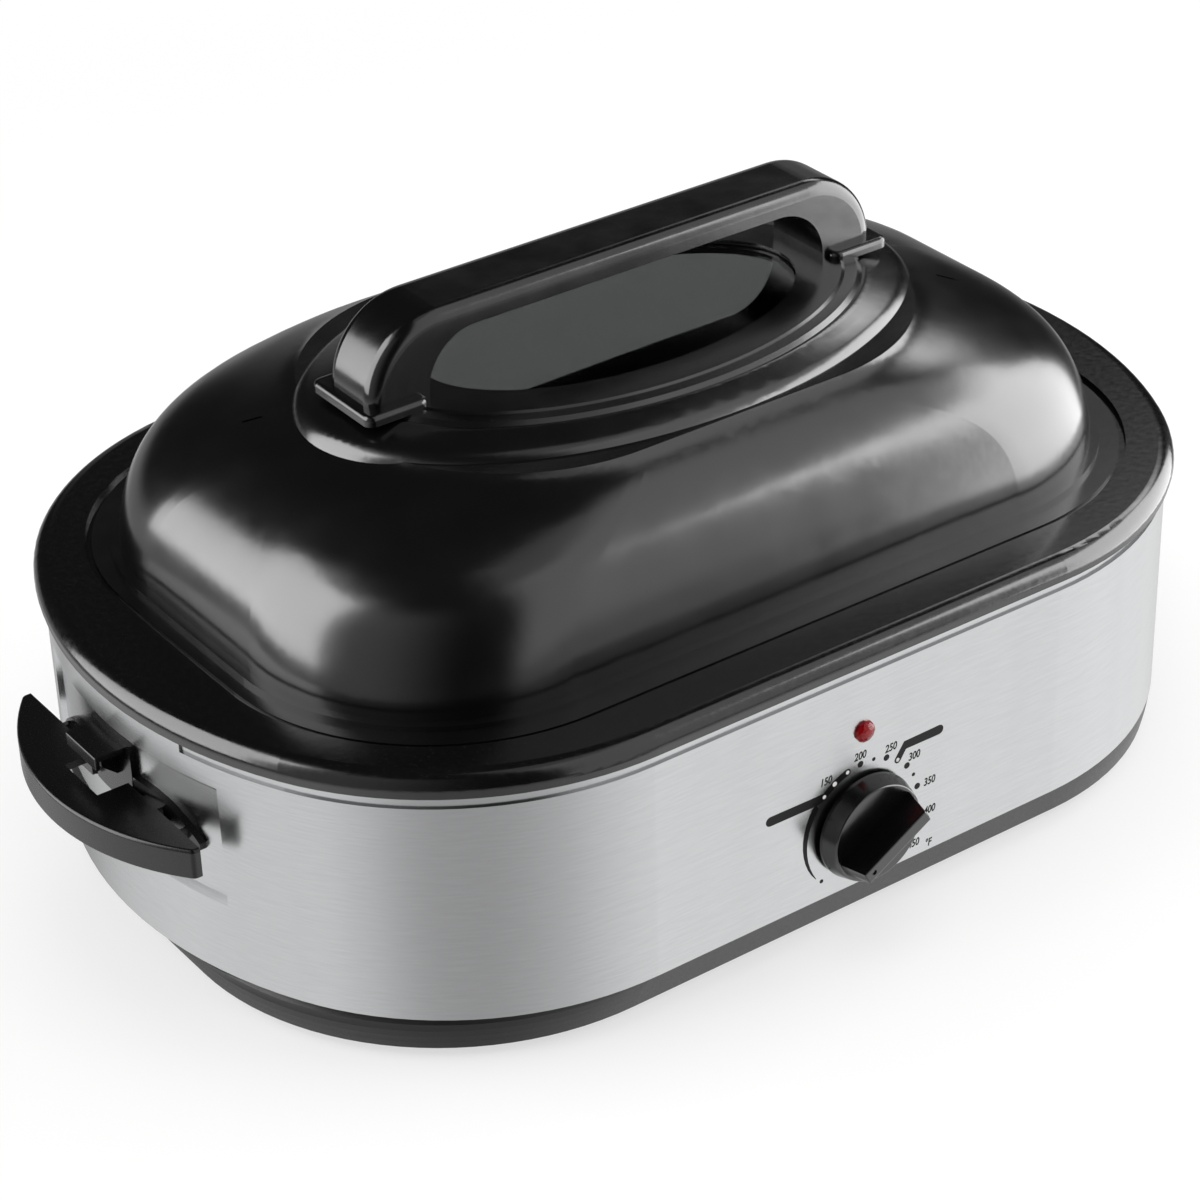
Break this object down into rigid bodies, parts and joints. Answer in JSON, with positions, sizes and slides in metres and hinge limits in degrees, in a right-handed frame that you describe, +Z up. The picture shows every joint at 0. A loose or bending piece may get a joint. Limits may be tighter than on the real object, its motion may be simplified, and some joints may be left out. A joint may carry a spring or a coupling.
{
  "type": "electric roaster oven",
  "caption": "Oval countertop roaster with a stainless wrapped base, lift-out enamelled pan and wire rack, and a lift-off domed lid with an oval glass window and a bar handle.",
  "frame": {"origin": "on the supporting surface, under the middle of the overall box", "axes": "+Z up, +X along the length, the control knob faces -Y"},
  "size_m": [0.595, 0.3979, 0.2695],
  "materials": {
    "black_steel_tray": "black painted sheet steel, satin",
    "rubber": "moulded black rubber",
    "zinc_steel": "zinc plated steel",
    "stainless_wrap": "brushed stainless sheet, grain along the wall",
    "black_enamel": "gloss black porcelain enamel on steel",
    "lid_enamel": "satin black enamel on drawn steel",
    "mica_band": "mica wrapped resistance band",
    "glass_wool": "glass fibre blanket",
    "ceramic": "ceramic thermostat body",
    "wire_sleeve": "glass fibre sleeved wire",
    "red_lens": "clear red moulded lens",
    "lamp_glass": "neon lamp bulb",
    "black_plastic": "moulded heat-proof plastic, satin",
    "handle_plastic": "polished black phenolic",
    "knob_plastic": "polished black phenolic",
    "chrome_wire": "nickel chrome plated wire",
    "window_glass": "tempered glass",
    "silicone": "silicone gasket"
  },
  "bodies": {
    "base": {"base_tray": "black_steel_tray", "rubber_feet": "rubber", "foot_screws": "zinc_steel", "well_standoffs": "zinc_steel", "outer_shell": "stainless_wrap", "heat_well": "black_enamel", "heater_band": "mica_band", "insulation_blanket": "glass_wool", "thermostat": "ceramic", "thermostat_screws": "zinc_steel", "heater_leads": "wire_sleeve", "indicator_lens": "red_lens", "neon_lamp": "lamp_glass", "lamp_clip": "zinc_steel", "cord_bushing": "black_plastic", "side_handle_left": "black_plastic", "side_handle_right": "black_plastic", "lid_rest_left": "black_plastic", "lid_rest_right": "black_plastic", "side_handle_screws": "zinc_steel"},
    "pan": {"roasting_pan": "black_enamel"},
    "rack": {"roasting_rack": "chrome_wire"},
    "lid": {"lid_shell": "lid_enamel", "window_glass": "window_glass", "window_gasket": "silicone", "window_retainer": "zinc_steel", "lid_handle": "handle_plastic", "lid_handle_screws": "zinc_steel", "lid_handle_washers": "zinc_steel"},
    "knob": {"knob": "knob_plastic", "thermostat_shaft": "zinc_steel", "knob_clip": "zinc_steel"}
  },
  "joints": [
    {"name": "pan_lift", "type": "slide", "parent": "base", "child": "pan", "axis": [0, 0, 1], "range_m": [0, 0.13]},
    {"name": "rack_lift", "type": "slide", "parent": "pan", "child": "rack", "axis": [0, 0, 1], "range_m": [0, 0.13]},
    {"name": "lid_lift", "type": "slide", "parent": "rack", "child": "lid", "axis": [0, 0, 1], "range_m": [0, 0.15]},
    {"name": "knob_turn", "type": "hinge", "parent": "base", "child": "knob", "pos_m": [0, -0.175, 0.0532], "axis": [0, 1, 0], "range_deg": [-13.4, 253.4]}
  ]
}
